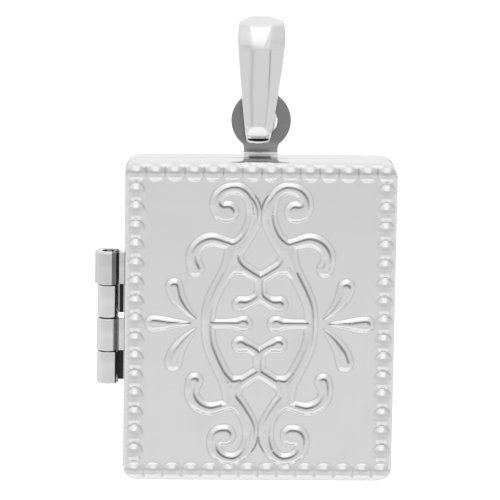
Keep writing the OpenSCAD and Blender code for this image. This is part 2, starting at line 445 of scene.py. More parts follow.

# The faint painted shade line along a stroke's foot, darker on sides that face left or right
FOOT_WIDTH = 0.05
FOOT_DARK = 0.05
FOOT_SIDE_DARK = 0.16

# The painted shade in the notch between the kite's two ends, and how softly the forms run together
NOTCH_HALF_W = 0.5
NOTCH_LOW = 9.2
NOTCH_HIGH = 10.4
NOTCH_WIDTH = 0.08
NOTCH_DARK = 0.75
BLEND = 0.03

# The border's beads: how steeply they end, the width of the painted shade line round each, the soft edge of
# its cap and how near the painted shade in the creases keeps to the middle of the row
BEAD_FALL = 3.0
BEAD_LINE_WIDTH = 0.06
CAP_EDGE = 0.1
CREASE_HALF_W = 0.35

# How much shade is painted on the border. A pair says how far in from the plate's edge a dark place is
# nought and is full.
# The upper row has a strip along the edge, and teeth that begin nearer to it between two beads.
UPPER_CREASE_DARK = 0.22
STRIP_DARK = 0.12
STRIP_OUTER = (0.1, 0.3)
STRIP_INNER = (1.0, 0.7)
TEETH_DARK = 0.1
TEETH_START = 0.62
TEETH_NEARER = 0.42
TEETH_POWER = 1.5
TEETH_SOFT = 0.08
TEETH_INNER = (0.86, 0.76)
LOWER_CREASE_DARK = 0.12
LOWER_BEAD_DARK = 0.15
LOWER_BEAD_OUTER = (0.85, 1.05)
COLUMN_LINE_DARK = 0.42
COLUMN_LINE_UP = 1.2
COLUMN_LINE_RIGHT = 0.5
COLUMN_LINE_LESS = 0.15
COLUMN_BEAD_DARK = 0.07


def fade(value, start, end):
    """Nought at the start, one at the end and even between them."""
    return np.clip((value - start) / (end - start), 0, 1)


def hump(value, width):
    """One at nought, falling off on both sides."""
    return np.exp(-(value / width) ** 2)


def smooth_line(rows, parts=8):
    """A smooth curve through the rows of a stroke."""
    rows = np.array(rows)
    last = len(rows) - 1
    line = []
    for i in range(last):
        a, b, c, d = rows[max(0, i - 1)], rows[i], rows[i + 1], rows[min(last, i + 2)]
        for k in range(parts):
            t = k / parts
            curve = 2 * a - 5 * b + 4 * c - d + t * (3 * (b - c) + d - a)
            line.append(b + 0.5 * t * ((c - a) + t * curve))
    line.append(rows[last])
    return np.array(line)


def ridge(depth_in):
    """Height of a ridge at a distance in from its foot: a slope, a round shoulder and a flat crest."""
    run = RIDGE_R * math.sin(math.atan(SLOPE))
    base = CREST - RIDGE_R
    shoulder_from = FULL_HALF - run
    shoulder = base + np.sqrt(np.maximum(RIDGE_R ** 2 - np.clip(FULL_HALF - depth_in, 0, run) ** 2, 0))
    slope = base + math.sqrt(RIDGE_R ** 2 - run ** 2) + (depth_in - shoulder_from) * SLOPE
    return np.where(depth_in < shoulder_from, slope, shoulder)


def soft_max(a, b):
    return np.maximum(a, b) + np.maximum(BLEND - np.abs(a - b), 0) ** 2 / (4 * BLEND)


def stroke_depth(x, z, rows):
    """How far in from a stroke's foot points lie, its half width there and the way its side faces."""
    line = smooth_line(rows)
    best = np.full(x.shape, FAR_OUT)
    width = np.full(x.shape, FULL_HALF)
    side = np.zeros(x.shape)
    rise = np.zeros(x.shape)
    for a, b in zip(line[:-1], line[1:]):
        run = b[:2] - a[:2]
        length = run @ run
        reach = max(a[2], b[2]) + STROKE_REACH
        near = ((x > min(a[0], b[0]) - reach) & (x < max(a[0], b[0]) + reach)
                & (z > min(a[1], b[1]) - reach) & (z < max(a[1], b[1]) + reach))
        if length < 1e-12 or not near.any():
            continue
        px, pz = x[near], z[near]
        t = np.clip(((px - a[0]) * run[0] + (pz - a[1]) * run[1]) / length, 0, 1)
        gap_x = px - a[0] - t * run[0]
        gap_z = pz - a[1] - t * run[1]
        gap = np.hypot(gap_x, gap_z)
        half = a[2] + t * (b[2] - a[2])
        inside = half - gap
        better = inside > best[near]
        places = np.flatnonzero(near)[better]
        best[places] = inside[better]
        width[places] = half[better]
        size = np.maximum(gap, MIDDLE)
        side[places] = (gap_x / size)[better]
        rise[places] = (gap_z / size)[better]
    return best, width, side, rise


def runs_on(rows, x, z, lower, side, rise):
    """Where a stroke's side runs on into its neighbour, and so has no painted shade line."""
    if rows is KITE:
        return (side > 0) & (z > KITE_JOIN_Z)
    if rows is SCROLL:
        join_z = np.where(x < SCROLL_INNER_X, SCROLL_INNER_Z, SCROLL_OUTER_Z)
        return (x < SCROLL_JOIN_X) & (z < join_z) & (rise < 0)
    if rows is BRACKET:
        return z > np.where(lower, LOWER_BRACKET_JOIN_Z, BRACKET_JOIN_Z)
    return rows is JOIN_FILL


def edge_height(x, z):
    """Height of the locket's rounded edge, nought on the flat plate and falling away outside it."""
    side = np.maximum(np.abs(x) - (BODY_W / 2 - CORNER_R), 0)
    rise = np.maximum(np.abs(z) - (BODY_H / 2 - CORNER_R), 0)
    corner = (side > 0) & (rise > 0)
    inset = np.where(corner, CORNER_R - np.hypot(side, rise),
                     np.minimum(BODY_W / 2 - np.abs(x), BODY_H / 2 - np.abs(z)))
    inset = np.clip(inset, 0, None)
    return np.sqrt(np.maximum(EDGE_R ** 2 - np.maximum(EDGE_R - inset, 0) ** 2, 0)) - EDGE_R


def plate_height(x, z):
    """Height of the stamped sheet above the flat plate, and its painted shade lines, at points from the
    centre.
    """
    height = edge_height(x, z)
    fold_x = np.abs(x)
    lift = z - (RELIEF_Z - BODY_Z) - np.interp(z, LIFT_AT, LIFT_BY)
    fold_z = np.abs(lift)
    depth = np.full(x.shape, FAR_OUT)
    share = np.ones(x.shape)
    side = np.zeros(x.shape)
    rise = np.zeros(x.shape)
    no_line = np.zeros(x.shape, bool)
    for rows in STROKES:
        inside, half, stroke_side, stroke_rise = stroke_depth(fold_x, fold_z, rows)
        scale = np.minimum(1.0, half / FULL_HALF)
        if rows is CORNER_FILL:
            stroke_rise = np.minimum(stroke_rise, 0)
        better = inside / scale > depth
        joined = runs_on(rows, fold_x, fold_z, lift < 0, stroke_side, stroke_rise)
        no_line = np.where(better, joined, no_line)
        depth = np.where(better, inside / scale, depth)
        share = np.where(better, scale, share)
        side = np.where(better, stroke_side * np.where(x < 0, -1, 1), side)
        rise = np.where(better, stroke_rise * np.where(lift < 0, -1, 1), rise)
    relief = np.where(depth > -SLOPE_REACH, share * ridge(depth), NO_RELIEF)
    dome, bead_line = border_beads(x, z)
    height = soft_max(soft_max(height, relief), dome)
    # Painted shade: a dark line inside a stroke's edge where it faces up or right, a faint one along its
    # foot, and the notch
    line = hump(depth - LINE_DEPTH, LINE_WIDTH) * np.clip(LINE_UP * rise + LINE_RIGHT * side, 0, 1)
    foot = hump(depth, FOOT_WIDTH) * (FOOT_DARK + FOOT_SIDE_DARK * side ** 2)
    notch = (fold_x < NOTCH_HALF_W) & (fold_z > NOTCH_LOW) & (fold_z < NOTCH_HIGH)
    foot = np.where(notch, NOTCH_DARK * hump(depth, NOTCH_WIDTH), foot)
    dark = np.where(relief > dome, np.where(no_line, 0, line) + foot, bead_line)
    return height, np.clip(dark, 0, 1)


def border_beads(x, z):
    """Height of the border's beads, flat domes that touch, and the painted shade lines in the creases round
    them.
    """
    half_x = BODY_W / 2 - BEAD_INSET
    half_z = BODY_H / 2 - BEAD_INSET
    pitch_x = 2 * half_x / (BEAD_COLS - 1)
    pitch_z = 2 * half_z / (BEAD_ROWS - 1)
    across = x - np.clip(np.round((x + half_x) / pitch_x) * pitch_x - half_x, -half_x, half_x)
    row_rise = (np.abs(z) - half_z) * np.where(z < 0, -1, 1)
    bead_z = np.round((z + half_z) / pitch_z) * pitch_z - half_z
    up_column = z - np.clip(bead_z, pitch_z - half_z, half_z - pitch_z)
    column_side = (np.abs(x) - half_x) * np.where(x < 0, -1, 1)
    row = np.hypot(across, row_rise * BEAD_SQUASH)
    column = np.hypot(column_side * BEAD_SQUASH, up_column)
    in_row = row < column
    reach = np.minimum(row, column)
    foot = math.sqrt(BEAD_R ** 2 - (BEAD_R - BEAD_RISE) ** 2)
    dome = BEAD_RISE - BEAD_R + np.sqrt(np.maximum(BEAD_R ** 2 - np.minimum(reach, foot) ** 2, 0))
    dome = np.where(reach < foot, dome, -BEAD_FALL * (reach - foot))
    side = np.where(in_row, across, column_side) / foot
    rise = np.where(in_row, row_rise, up_column) / foot
    # Painted shade: lines in the creases round the beads, a strip and teeth on the upper row, and a little
    # on the caps
    rim = hump(reach - foot, BEAD_LINE_WIDTH)
    cap = fade(reach, foot, foot - CAP_EDGE)
    inset = np.clip(BODY_H / 2 - np.abs(z), 0, None)
    tooth = TEETH_START - TEETH_NEARER * np.abs(2 * across / pitch_x) ** TEETH_POWER
    strip = STRIP_DARK * fade(inset, *STRIP_INNER) * fade(inset, *STRIP_OUTER)
    teeth = TEETH_DARK * fade(inset, tooth, tooth + TEETH_SOFT) * fade(inset, *TEETH_INNER)
    low = LOWER_BEAD_DARK * fade(inset, *LOWER_BEAD_OUTER) * cap
    crease = np.where(z > 0, UPPER_CREASE_DARK, LOWER_CREASE_DARK) * rim * hump(rise, CREASE_HALF_W)
    row_line = crease + np.where(z > 0, strip + teeth, low)
    shown = np.clip(COLUMN_LINE_UP * rise + COLUMN_LINE_RIGHT * side - COLUMN_LINE_LESS, 0, 1)
    column_line = COLUMN_LINE_DARK * rim * shown + COLUMN_BEAD_DARK * cap
    return dome, np.where(in_row, row_line, column_line)


def stations(half, spacing, steps=8):
    """Places of the grid's lines on one axis: close over the rounded edge, then evenly spaced."""
    outer = [EDGE_R * (1 - math.cos(math.pi / 2 * k / steps)) for k in range(steps)]
    inner_half = half - EDGE_R
    count = round(2 * inner_half / spacing)
    inner = [-inner_half + 2 * inner_half * i / count for i in range(count + 1)]
    left = [-half + d for d in outer]
    return np.array(left + inner + [-v for v in reversed(left)])


def round_corners(x, z):
    """Moves the grid's square corners in to the locket's round ones, its lines parallel to the edge."""
    cx = BODY_W / 2 - CORNER_R
    cz = BODY_H / 2 - CORNER_R
    u = np.abs(x) - cx
    v = np.abs(z) - cz
    corner = (u > 0) & (v > 0)
    big = np.maximum(u, v)
    small = np.minimum(u, v)
    angle = np.where(big > 0, math.pi / 4 * small / np.where(big > 0, big, 1), 0)
    along_u = np.where(u >= v, big * np.cos(angle), big * np.sin(angle))
    along_v = np.where(u >= v, big * np.sin(angle), big * np.cos(angle))
    new_x = np.where(corner, np.sign(x) * (cx + along_u), x)
    new_z = np.where(corner, np.sign(z) * (cz + along_v), z)
    return new_x, new_z


def outward(x, z):
    """Direction out of the locket's outline at a point on it."""
    cx = BODY_W / 2 - CORNER_R
    cz = BODY_H / 2 - CORNER_R
    u = np.maximum(np.abs(x) - cx, 0)
    v = np.maximum(np.abs(z) - cz, 0)
    size = np.hypot(u, v)
    return np.sign(x) * u / size, np.sign(z) * v / size


def rim_rings(shape, path, inset=0.0):
    """Extrudes the open edge of a case half ring by ring, then closes it.

    Each step of the path is a distance in from the outline and a Y.
    """
    rim = [e for e in shape.edges if e.is_boundary]
    painted = shape.verts.layers.float.get("crease")
    for new_inset, y in path:
        made = bmesh.ops.extrude_edge_only(shape, edges=rim)["geom"]
        for v in (g for g in made if isinstance(g, bmesh.types.BMVert)):
            side, rise = outward(v.co.x / MM, v.co.z / MM - BODY_Z)
            v.co.x -= side * (new_inset - inset) * MM
            v.co.z -= rise * (new_inset - inset) * MM
            v.co.y = y * MM
            # The rim's new points get no painted shade
            if painted:
                v[painted] = 0.0
        rim = [g for g in made if isinstance(g, bmesh.types.BMEdge) and g.is_boundary]
        inset = new_inset
    bmesh.ops.contextual_create(shape, geom=rim)


def stamped_cover():
    """The front half: a fine grid pressed to the relief, with its walls and its hollow inside."""
    across = stations(BODY_W / 2, COVER_GRID)
    up = stations(BODY_H / 2, COVER_GRID)
    fresh()
    bpy.ops.mesh.primitive_grid_add(x_subdivisions=len(across) - 1, y_subdivisions=len(up) - 1, size=1)
    piece = bpy.context.object
    grid_x, grid_z = np.meshgrid(across, up)
    x, z = round_corners(grid_x.ravel(), grid_z.ravel())
    height, crease = plate_height(x, z)
    places = np.column_stack([x, FRONT_Y - height, z + BODY_Z]) * MM
    piece.data.vertices.foreach_set("co", places.ravel())
    # The painted shade goes on the sheet as a point attribute that its finish reads
    mask = piece.data.attributes.new("crease", "FLOAT", "POINT")
    mask.data.foreach_set("value", crease)
    shape = bmesh.new()
    shape.from_mesh(piece.data)
    rim_y = PART_Y - PART_GAP / 2
    floor_y = FRONT_Y + WALL
    path = [(0.0, rim_y - 0.12), (0.0, rim_y - 0.03), (0.03, rim_y),
            (WALL - 0.05, rim_y), (WALL, rim_y - 0.05),
            (WALL, floor_y + 0.1), (WALL + 0.03, floor_y + 0.03),
            (WALL + 0.1, floor_y), (WALL + 0.3, floor_y)]
    rim_rings(shape, path)
    shape.to_mesh(piece.data)
    shape.free()
    finish_mesh(piece, angle=50)
    return piece


def plain_back():
    """The back half: a plain pressed tray with the closing lip that stands inside its rim."""
    across = stations(BODY_W / 2, BACK_GRID)
    up = stations(BODY_H / 2, BACK_GRID)
    corner = [CORNER_R * (1 - math.cos(math.pi / 2 * k / 8)) for k in range(1, 8)]
    extra = np.array([d for d in corner if d > EDGE_R])
    across = np.unique(np.round(np.concatenate([across, BODY_W / 2 - extra, extra - BODY_W / 2]), 6))
    up = np.unique(np.round(np.concatenate([up, BODY_H / 2 - extra, extra - BODY_H / 2]), 6))
    fresh()
    bpy.ops.mesh.primitive_grid_add(x_subdivisions=len(across) - 1, y_subdivisions=len(up) - 1, size=1)
    piece = bpy.context.object
    grid_x, grid_z = np.meshgrid(across, up)
    x, z = round_corners(grid_x.ravel(), grid_z.ravel())
    height = edge_height(x, z)
    back_y = PART_Y + PART_GAP / 2 + HALF_D
    piece.data.vertices.foreach_set("co", (np.column_stack([x, back_y + height, z + BODY_Z]) * MM).ravel())
    shape = bmesh.new()
    shape.from_mesh(piece.data)
    rim_y = PART_Y + PART_GAP / 2
    lip_y = rim_y - LIP_H
    lip_out = WALL + LIP_GAP
    lip_in = lip_out + LIP_T
    floor_y = back_y - WALL
    path = [(0.0, rim_y + 0.12), (0.0, rim_y + 0.03), (0.03, rim_y), (lip_out, rim_y),
            (lip_out, lip_y + 0.06), (lip_out + 0.06, lip_y), (lip_in - 0.06, lip_y),
            (lip_in, lip_y + 0.06), (lip_in, floor_y - 0.1),
            (lip_in + 0.03, floor_y - 0.03), (lip_in + 0.1, floor_y), (lip_in + 0.3, floor_y)]
    rim_rings(shape, path)
    shape.to_mesh(piece.data)
    shape.free()
    finish_mesh(piece, angle=50)
    return piece


def block(middle, size, soft, segments):
    """A block with softened edges, from its middle and its size."""
    fresh()
    bpy.ops.mesh.primitive_cube_add(size=1, location=[c * MM for c in middle], scale=[c * MM for c in size])
    piece = bpy.context.object
    settle(piece)
    modifier(piece, "BEVEL", width=soft * MM, segments=segments)
    finish_mesh(piece)
    return piece


def stem_ledge():
    """The low folded edge of the back case that the ring's stem rises behind."""
    return block((0, STEM_LEDGE_Y, BODY_TOP), STEM_LEDGE_SIZE, SOFT_EDGE, 3)


def slab(name, outline, low_y, high_y):
    """A plate drawn from the front as a closed outline, between two Y."""
    count = len(outline)
    corners = [(x, low_y, z) for x, z in outline] + [(x, high_y, z) for x, z in outline]
    sides = [(i, (i + 1) % count, count + (i + 1) % count, count + i) for i in range(count)]
    faces = [tuple(range(count)), tuple(range(2 * count - 1, count - 1, -1))] + sides
    return mesh_piece(name, corners, faces)


def arc(cx, cz, r, start, end, steps):
    """Points along an arc seen from the front, between two angles in degrees."""
    angles = [math.radians(start + (end - start) * i / steps) for i in range(steps + 1)]
    return [(cx + r * math.cos(a), cz + r * math.sin(a)) for a in angles]


def ring_tab():
    """The ring and its stem: cut as one plate, bored, with every edge softened."""
    half = STEM_W / 2
    fillet_x = half + STEM_FILLET_R
    fillet_z = -math.sqrt((RING_R + STEM_FILLET_R) ** 2 - fillet_x ** 2)
    join_angle = math.degrees(math.atan2(-fillet_z, -fillet_x))
    right = arc(fillet_x, RING_Z + fillet_z, STEM_FILLET_R, 180, join_angle, 6)[:-1]
    left = [(-x, z) for x, z in reversed(right)]
    turn = math.degrees(math.atan2(fillet_z, fillet_x))
    ring = arc(0, RING_Z, RING_R, turn, 180 - turn, 72)
    outline = [(half, STEM_FOOT_Z)] + right + ring + left + [(-half, STEM_FOOT_Z)]
    piece = slab("ring_tab", outline, -TAB_T / 2, TAB_T / 2)
    fresh()
    bpy.ops.mesh.primitive_cylinder_add(vertices=72, radius=HOLE_R * MM, depth=2 * TAB_T * MM,
                                        location=(0, 0, HOLE_Z * MM), rotation=(math.pi / 2, 0, 0))
    bore = bpy.context.object
    finish_mesh(piece)
    modifier(piece, "BOOLEAN", operation="DIFFERENCE", object=bore, solver="EXACT")
    bpy.data.objects.remove(bore)
    sharp = math.radians(50)
    modifier(piece, "BEVEL", width=SOFT_EDGE * MM, segments=3, limit_method="ANGLE", angle_limit=sharp)
    finish_mesh(piece)
    return piece


def is_level(a, b):
    """Whether an edge between two points runs level."""
    return abs(a.z - b.z) < 1e-4


def knuckle(number, leaf):
    """One knuckle: a bored barrel with softened ends, and the leaf that ties it to its half of the case."""
    pitch = HINGE_LEN / len(KNUCKLE_R)
    length = pitch - KNUCKLE_GAP
    middle_z = HINGE_Z + HINGE_LEN / 2 - pitch * (number + 0.5)
    radius = KNUCKLE_R[number]
    short = LEAF_SHORT[number]

    def on_rim(a, b):
        return is_level(a, b) and abs(math.hypot(a.x - HINGE_X, a.y - PART_Y) - radius) < 0.01

    fresh()
    bpy.ops.mesh.primitive_cylinder_add(vertices=64, radius=radius * MM, depth=length * MM,
                                        location=(HINGE_X * MM, PART_Y * MM, middle_z * MM))
    barrel = bpy.context.object
    settle(barrel)
    faces_where(barrel, lambda middle, normal: abs(normal.z) > 0.9)
    bpy.ops.mesh.inset(thickness=(radius - BORE_R) * MM)
    bpy.ops.mesh.bridge_edge_loops()
    edges_where(barrel, on_rim)
    bpy.ops.mesh.bevel(offset=SOFT_EDGE * MM, segments=3, profile=0.5, affect="EDGES")
    finish_mesh(barrel, merge=0.0001)
    low_y, high_y, left_x, right_x = leaf
    middle = ((left_x + right_x) / 2, (low_y + high_y) / 2, middle_z + short / 2)
    return [barrel, block(middle, (right_x - left_x, high_y - low_y, length - short), LEAF_SOFT, 2)]


def hinge_pin():
    length = HINGE_LEN - KNUCKLE_GAP - 2 * PIN_RECESS
    fresh()
    bpy.ops.mesh.primitive_cylinder_add(vertices=48, radius=PIN_R * MM, depth=length * MM,
                                        location=(HINGE_X * MM, PART_Y * MM, HINGE_Z * MM))
    rod = bpy.context.object
    settle(rod)
    edges_where(rod, is_level)
    bpy.ops.mesh.bevel(offset=PIN_SOFT * MM, segments=4, profile=0.5, affect="EDGES")
    finish_mesh(rod)
    return named(rod, "hinge_pin_rod")


# The bail: its side view is a run of arcs and straight stretches, its front three facets. From the top down
# the front, an arc has its radius and the way it faces where it ends, as degrees above or below level.
BAIL_TOP_R = 1.97
BAIL_TOP_Z = BAIL_WALL - BAIL_TOP_R
BAIL_TOP_ENDS = 18.4
BAIL_CHEST_R = 9.9
BAIL_CHEST_ENDS = 13.0
BAIL_BEND_R = 0.3
BAIL_LEAN = 4.5
BAIL_HIP_Z = -7.95
BAIL_CHIN_LEAN = 24.0
BAIL_FOOT_Z = -9.48
BAIL_TOE_Z = BAIL_FOOT_Z + 0.21
BAIL_TOE_R = 0.05
BAIL_TOE_LEAN = 8.0
BAIL_SOLE_R = 0.06
BAIL_FLOOR_HALF_W = 1.03
BAIL_FLOOR_Z = HOLE_Z + math.sqrt(JOURNAL_R ** 2 - BAIL_FLOOR_HALF_W ** 2)
BAIL_EDGE_R = 0.13
BAIL_CORNER_R = 0.3
BAIL_FRONT_Y = -0.7

# The back leg, which shows to the right of the foot: behind what Y it is, between what heights it moves to
# the right, and how far
BACK_LEG_Y = 0.3
BACK_LEG_Z = (-5.0, -7.0)
BACK_LEG_SPREAD = 0.3

# How the bail hangs askew: how far its middle lies to the left at nought, and how much further to the
# right for each millimetre back and up
SKEW_LEFT = 0.037
SKEW_BACK = 0.02
SKEW_UP = 0.02

# Half the bail's width, where its middle facet ends on each side and how dark the painted shade line there
# is, by height
BAIL_HALF_WIDTH = [
    (-9.48, 0.66), (-9.4, 0.8), (-9.28, 0.9), (-9.1, 0.96), (-8.8, 1.02), (-8.25, 1.085), (-7.4, 1.185),
    (-6.6, 1.285), (-5.4, 1.42), (-3.5, 1.65), (-2.3, 1.76), (-1.5, 1.8), (-0.8, 1.78), (-0.2, 1.77),
    (0.35, 1.72),
]
PANEL_LEFT = [
    (-8.9, 0.75), (-8.5, 0.72), (-8.0, 0.54), (-7.6, 0.5), (-5.4, 0.64), (-2.0, 0.64), (-1.6, 0.85),
    (0.35, 0.85),
]
PANEL_RIGHT = [(-8.9, 0.7), (-8.5, 0.66), (-8.0, 0.42), (-7.6, 0.52), (-5.4, 0.66), (0.35, 0.7)]
PANEL_LINE = [(-8.0, 0.1), (-5.5, 0.2), (-4.2, 0.45), (-2.0, 0.45), (-1.9, 0.0)]

# Across the bail: how far its side facets fall and the half width from which they fall in full, how much
# more they fall round the top, how narrow they get, and the crown of the middle facet
FACET_FALL = 0.22
FULL_FALL_HALF_W = 1.5
TOP_FALL = 0.1
TOP_FALL_Z = (-0.8, 0.2)
FACET_LEAST_W = 0.2
PANEL_CROWN = 0.003

# The soft corner where two facets meet: the distances across it, its drop and its slopes on both sides, and
# the angle that the round outer edge starts from
FACET_CORNER = (-0.12, -0.05, 0.0, 0.05, 0.12)
FACET_CORNER_DROP = 0.02
PANEL_SLOPE = 0.12
FACET_SLOPE = 0.2
EDGE_START = 15

# The sheet's inside: how far above the floor it follows the outside in full, how much of the facets' fall
# it has, its crown, and its edge as rows of distance in from the side and share of the wall
INSIDE_FULL = 0.5
INSIDE_FALL = 0.7
INSIDE_CROWN = 0.05
INSIDE_EDGE = [(0.0, 0.5), (0.03, 0.92), (0.08, 1.0)]

# The painted shade lines between the facets: their widths, and the left one's darkness, its place out from
# the facet's end and the heights it runs between
RIGHT_LINE_W = 0.06
LEFT_LINE_W = 0.12
LEFT_LINE_DARK = 0.22
LEFT_LINE_OUT = 0.04
LEFT_LINE_Z = (-8.0, -1.95)

# The painted shade of the dark crescent and the fainter ledge over the foot, by their heights on the middle
# line. They rise to both sides, the crescent's upper edge by a smaller share.
CRESCENT_HALF_W = 0.8
CRESCENT_RISE = 0.1
CRESCENT_TOP_RISE = 0.4
CRESCENT_LOW = -9.27
CRESCENT_HIGH = -9.04
LEDGE_DARK = 0.4
LEDGE_WIDER = 1.05
LEDGE_LOW = -8.94
LEDGE_HIGH = -8.86


def along(table, place):
    """A table's value at a place, evenly between its rows."""
    return float(np.interp(place, [row[0] for row in table], [row[1] for row in table]))


def bail_skew(y, z):
    """How far to the side the bail's middle hangs at a point, since it hangs a little askew."""
    return SKEW_BACK * y + SKEW_UP * z - SKEW_LEFT


def bend(path, r, end, steps):
    """Carries the side view's path on round an arc, until it faces a new way."""
    (y, z), facing = path[-1]
    for i in range(1, steps + 1):
        a = math.radians(facing)
        b = math.radians(facing + (end - facing) * i / steps)
        turned = (y + r * (math.cos(a) - math.cos(b)), z + r * (math.sin(b) - math.sin(a)))
        path.append((turned, math.degrees(b)))


def straight(path, end_z, steps):
    """Carries the side view's path on the way it faces, down to a height."""
    (y, z), facing = path[-1]
    run = (z - end_z) * math.tan(math.radians(-facing))
    for i in range(1, steps + 1):
        t = i / steps
        path.append(((y + run * t, z + (end_z - z) * t), facing))


def bail_rows():
    """Rows round the bail: outer point and inner point as Y and Z, and facing in degrees above level."""
    path = [((0.0, BAIL_TOP_Z + BAIL_TOP_R), 90.0)]
    bend(path, BAIL_TOP_R, BAIL_TOP_ENDS, 34)
    bend(path, BAIL_CHEST_R, BAIL_CHEST_ENDS, 10)
    bend(path, BAIL_BEND_R, -BAIL_LEAN, 4)
    straight(path, BAIL_FLOOR_Z + BAIL_CORNER_R, 20)
    sheet = len(path)
    straight(path, BAIL_HIP_Z, 4)
    bend(path, BAIL_BEND_R, -BAIL_CHIN_LEAN, 4)
    straight(path, BAIL_TOE_Z, 18)
    bend(path, BAIL_TOE_R, -BAIL_TOE_LEAN, 3)
    straight(path, BAIL_FOOT_Z + BAIL_SOLE_R, 3)
    bend(path, BAIL_SOLE_R, -90.0, 5)
    path[-1] = ((path[-1][0][0], BAIL_FOOT_Z), -90.0)
    rows = []
    for (y, z), facing in path[:sheet]:
        a = math.radians(facing)
        rows.append(((y, z), (y + BAIL_WALL * math.cos(a), z - BAIL_WALL * math.sin(a)), facing))
    floor_y = rows[-1][1][0]
    corner = len(path) - sheet
    for i, (outer, facing) in enumerate(path[sheet:]):
        a = math.radians(90 * (i + 1) / corner)
        inner_y = floor_y + BAIL_CORNER_R * (1 - math.cos(a))
        rows.append((outer, (inner_y, BAIL_FLOOR_Z + BAIL_CORNER_R * (1 - math.sin(a))), facing))
    outer_y, inner_y = rows[-1][0][0], rows[-1][1][0]
    for i in range(1, 5):
        t = 1 - i / 4
        rows.append(((outer_y * t, BAIL_FOOT_Z), (inner_y * t, BAIL_FLOOR_Z), -90.0))
    back = [((-outer[0], outer[1]), (-inner[0], inner[1]), 180.0 - facing)
            for outer, inner, facing in reversed(rows[1:-1])]
    return rows + back


def bail_section(z):
    """A cut across the bail, for each side as rows of distance across and drop below the crest."""
    half = along(BAIL_HALF_WIDTH, z)
    fall = FACET_FALL * min(1.0, half / FULL_FALL_HALF_W) + TOP_FALL * fade(z, *TOP_FALL_Z)
    sides = []
    for table in (PANEL_RIGHT, PANEL_LEFT):
        edge = half - BAIL_EDGE_R
        panel = min(along(table, z), edge - FACET_LEAST_W)
        side = [(0.0, 0.0), (0.5 * panel, PANEL_CROWN)]
        for d in FACET_CORNER:
            slope = PANEL_SLOPE if d < 0 else FACET_SLOPE
            side.append((panel + d, FACET_CORNER_DROP + slope * d))
        start, low = side[-1]
        side += [(start + (edge - start) * k / 4, low + (fall - low) * k / 4) for k in range(1, 5)]
        for k in range(1, 6):
            a = math.radians(EDGE_START + (90 - EDGE_START) * k / 5)
            side.append((edge + BAIL_EDGE_R * math.sin(a), fall + BAIL_EDGE_R * (1 - math.cos(a))))
        sides.append(side)
    return sides


def bail():
    """The bail: cuts across it joined up all round, less the groove that the ring runs in."""
    corners = []
    rows = bail_rows()
    for outer, inner, facing in rows:
        outer_point = Vector(outer)
        inner_point = Vector(inner)
        a = math.radians(facing)
        inwards = Vector((math.cos(a), -math.sin(a)))
        follows = fade(outer[1], BAIL_FLOOR_Z, BAIL_FLOOR_Z + INSIDE_FULL)
        halves = []
        for sign, side in zip((1, -1), bail_section(outer[1])):
            points = [(x, outer_point + inwards * drop) for x, drop in side]
            half, drop = side[-1]
            last = points[-1][1]
            inside = inner_point + inwards * drop * INSIDE_FALL * follows
            points += [(half - inset, last.lerp(inside, share)) for inset, share in INSIDE_EDGE]
            points += [(0.5 * half, inner_point + inwards * INSIDE_CROWN * follows), (0.0, inner_point)]
            halves.append([(sign * x, point) for x, point in points])
        on_back_leg = fade(outer[1], *BACK_LEG_Z) if outer[0] > BACK_LEG_Y else 0.0
        for x, point in halves[0] + halves[1][-2:0:-1]:
            spread = BACK_LEG_SPREAD * on_back_leg if x > 0.01 else 0.0
            corners.append((x + spread + bail_skew(point.x, point.y), point.x, point.y))
    count = len(rows)
    size = len(corners) // count
    faces = []
    for row in range(count):
        here = row * size
        following = (row + 1) % count * size
        for k in range(size):
            beside = (k + 1) % size
            faces.append((here + k, here + beside, following + beside, following + k))
    piece = mesh_piece("bail_loop", corners, faces)
    finish_mesh(piece, merge=0.0001)
    low = BAIL_FOOT_Z - 2
    wide = 2.5
    under = arc(0, HOLE_Z, JOURNAL_R, 180, 360, 48)
    outline = [(-wide, low), (-wide, HOLE_Z)] + under + [(wide, HOLE_Z), (wide, low)]
    groove = slab("groove", outline, -GROOVE_W / 2, GROOVE_W / 2)
    finish_mesh(groove)
    modifier(piece, "BOOLEAN", operation="DIFFERENCE", object=groove, solver="EXACT")
    bpy.data.objects.remove(groove)
    finish_mesh(piece, merge=0.0001)
    shade_bail(piece)
    return named(piece, "bail_loop")


def shade_bail(piece):
    """Paints shade: the dark lines between the bail's facets, and the dark crescent and the ledge over its
    foot.
    """
    lines = piece.data.attributes.new("crease", "FLOAT", "POINT")
    for v, line in zip(piece.data.vertices, lines.data):
        x, y, z = v.co / MM
        if y > BAIL_FRONT_Y:
            continue
        x -= bail_skew(y, z)
        right = along(PANEL_LINE, z) * hump(x - along(PANEL_RIGHT, z), RIGHT_LINE_W)
        left = LEFT_LINE_DARK * hump(x + along(PANEL_LEFT, z) + LEFT_LINE_OUT, LEFT_LINE_W)
        if z <= LEFT_LINE_Z[0] or z > LEFT_LINE_Z[1]:
            left = 0.0
        out = abs(x) / CRESCENT_HALF_W
        rise = CRESCENT_RISE * out ** 2
        in_crescent = CRESCENT_LOW + rise < z < CRESCENT_HIGH + CRESCENT_TOP_RISE * rise
        crescent = 1.0 if out < 1 and in_crescent else 0.0
        ledge = LEDGE_DARK if out < LEDGE_WIDER and LEDGE_LOW + rise < z < LEDGE_HIGH + rise else 0.0
        line.value = max(crescent, ledge, right + left)


# Finishes
SILVER = (0.95, 0.95, 0.955, 1.0)
PIN_GREY = (0.75, 0.75, 0.75, 1.0)
# The tab's grey is painted shade: the same silver, darkened for the dark that its faces mirror
TAB_SHADED_GREY = (0.42, 0.42, 0.425, 1.0)

# The painted shade of the dark spot in front of the stem and the halo round it: low end, high end and how
# softly both fade, and the heights on the locket's top wall from which they show
SPOT_X = (-0.95, 0.75, 0.12)
SPOT_Y = (-2.1, -0.75, 0.12)
SPOT_DARK = 0.8
HALO_X = (-1.15, 1.0, 0.2)
HALO_Y = (-2.5, -0.4, 0.15)
HALO_DARK = 0.17
TOP_WALL_Z = (BODY_TOP - 0.2, BODY_TOP - 0.1)
